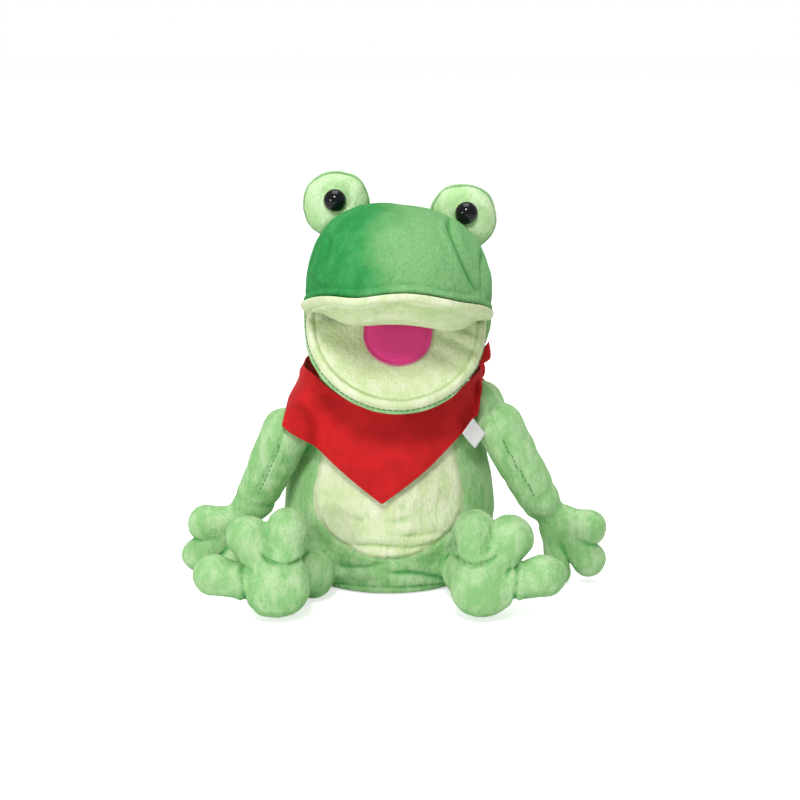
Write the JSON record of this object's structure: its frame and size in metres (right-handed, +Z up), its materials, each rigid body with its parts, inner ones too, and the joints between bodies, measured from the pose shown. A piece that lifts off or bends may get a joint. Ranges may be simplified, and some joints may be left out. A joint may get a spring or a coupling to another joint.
{
  "type": "hand puppet",
  "caption": "Plush frog hand puppet with a talking mouth, bulging eyes, a tied red bandana, and floppy stuffed arms and legs.",
  "frame": {"origin": "centre of the hand opening, on the surface that the puppet sits on", "axes": "+Z up, the puppet faces -Y, and +X is the puppet's own left"},
  "size_m": [0.3151, 0.2022, 0.3129],
  "materials": {
    "body_green": "short-pile plush",
    "crown_green": "short-pile plush",
    "belly_green": "short-pile plush",
    "mouth_green": "short-pile plush",
    "bandana_red": "plain-woven cotton",
    "label_white": "satin-woven tape",
    "tongue_pink": "felt",
    "eye_black": "polished",
    "washer": "moulded",
    "board": "flexible sheet",
    "lining": "thin woven lining",
    "stuffing": "polyester fibre"
  },
  "bodies": {
    "body": {"back_panel": "body_green", "left_flank_panel": "body_green", "right_flank_panel": "body_green", "belly_panel": "belly_green", "hem_facing": "body_green", "sleeve_lining": "lining", "bandana": "bandana_red", "bandana_knot": "bandana_red", "side_label": "label_white"},
    "neck": {"neck_sleeve": "body_green"},
    "neck_core": {"neck_lining": "lining"},
    "head": {"crown_panel": "crown_green", "left_temple_panel": "crown_green", "right_temple_panel": "crown_green", "nape_panel": "crown_green", "crown_padding": "stuffing", "finger_pocket": "lining", "palate_board": "board", "palate_lining": "mouth_green", "eye_washers": "washer", "left_eye_bump_back": "body_green", "left_eye_bump_front": "belly_green", "left_eye_bump_stuffing": "stuffing", "left_eye": "eye_black", "right_eye_bump_back": "body_green", "right_eye_bump_front": "belly_green", "right_eye_bump_stuffing": "stuffing", "right_eye": "eye_black"},
    "jaw": {"jaw_panel": "body_green", "jaw_lining": "mouth_green", "jaw_board": "board", "jaw_padding": "stuffing", "thumb_pocket": "lining", "tongue": "tongue_pink"},
    "left_shoulder": {"left_arm_seam": "body_green"},
    "left_arm": {"left_arm_cover": "body_green", "left_arm_stuffing": "stuffing"},
    "left_hand": {"left_hand_front": "body_green", "left_hand_back": "body_green", "left_hand_stuffing": "stuffing"},
    "left_hip": {"left_leg_seam": "body_green"},
    "left_leg": {"left_leg_cover": "body_green", "left_leg_stuffing": "stuffing"},
    "left_foot": {"left_foot_sole": "body_green", "left_foot_instep": "body_green", "left_foot_stuffing": "stuffing"},
    "right_shoulder": {"right_arm_seam": "body_green"},
    "right_arm": {"right_arm_cover": "body_green", "right_arm_stuffing": "stuffing"},
    "right_hand": {"right_hand_front": "body_green", "right_hand_back": "body_green", "right_hand_stuffing": "stuffing"},
    "right_hip": {"right_leg_seam": "body_green"},
    "right_leg": {"right_leg_cover": "body_green", "right_leg_stuffing": "stuffing"},
    "right_foot": {"right_foot_sole": "body_green", "right_foot_instep": "body_green", "right_foot_stuffing": "stuffing"}
  },
  "joints": [
    {"name": "head_turn", "type": "hinge", "parent": "body", "child": "neck", "pos_m": [0, 0.006, 0.166], "axis": [0, 0, 1], "range_deg": [-30, 30]},
    {"name": "head_tilt", "type": "hinge", "parent": "neck", "child": "neck_core", "pos_m": [0, 0.006, 0.166], "axis": [0, 1, 0], "range_deg": [-12, 12]},
    {"name": "head_nod", "type": "hinge", "parent": "neck_core", "child": "head", "pos_m": [0, 0.006, 0.166], "axis": [-1, 0, 0], "range_deg": [-8, 20]},
    {"name": "jaw_open", "type": "hinge", "parent": "head", "child": "jaw", "pos_m": [0.00556, -0.052, 0.22373], "axis": [0.9954, 0, -0.0958], "range_deg": [-62, 5]},
    {"name": "left_shoulder_raise", "type": "hinge", "parent": "body", "child": "left_shoulder", "pos_m": [0.082, -0.0265, 0.121], "axis": [0, -1, 0], "range_deg": [-5, 60]},
    {"name": "left_shoulder_swing", "type": "hinge", "parent": "left_shoulder", "child": "left_arm", "pos_m": [0.082, -0.0265, 0.121], "axis": [-1, 0, 0], "range_deg": [-8, 28]},
    {"name": "left_wrist", "type": "hinge", "parent": "left_arm", "child": "left_hand", "pos_m": [0.112, -0.03, 0.066], "axis": [-0.8779, 0, -0.4789], "range_deg": [-25, 25]},
    {"name": "left_hip_spread", "type": "hinge", "parent": "body", "child": "left_hip", "pos_m": [0.056, -0.0645, 0.02], "axis": [0, 0, 1], "range_deg": [-15, 20]},
    {"name": "left_hip_lift", "type": "hinge", "parent": "left_hip", "child": "left_leg", "pos_m": [0.056, -0.0645, 0.02], "axis": [-1, 0, 0], "range_deg": [-60, 20]},
    {"name": "left_ankle", "type": "hinge", "parent": "left_leg", "child": "left_foot", "pos_m": [0.064, -0.087, 0.031], "axis": [1, 0, 0], "range_deg": [-12, 12]},
    {"name": "right_shoulder_raise", "type": "hinge", "parent": "body", "child": "right_shoulder", "pos_m": [-0.075, -0.0395, 0.1195], "axis": [0, 1, 0], "range_deg": [-5, 60]},
    {"name": "right_shoulder_swing", "type": "hinge", "parent": "right_shoulder", "child": "right_arm", "pos_m": [-0.075, -0.0395, 0.1195], "axis": [-1, 0, 0], "range_deg": [-8, 28]},
    {"name": "right_wrist", "type": "hinge", "parent": "right_arm", "child": "right_hand", "pos_m": [-0.1, -0.032, 0.0655], "axis": [-0.9075, 0, 0.4201], "range_deg": [-25, 25]},
    {"name": "right_hip_spread", "type": "hinge", "parent": "body", "child": "right_hip", "pos_m": [-0.057, -0.0645, 0.02], "axis": [0, 0, -1], "range_deg": [-15, 20]},
    {"name": "right_hip_lift", "type": "hinge", "parent": "right_hip", "child": "right_leg", "pos_m": [-0.057, -0.0645, 0.02], "axis": [-1, 0, 0], "range_deg": [-60, 20]},
    {"name": "right_ankle", "type": "hinge", "parent": "right_leg", "child": "right_foot", "pos_m": [-0.076, -0.087, 0.031], "axis": [1, 0, 0], "range_deg": [-12, 12]}
  ]
}
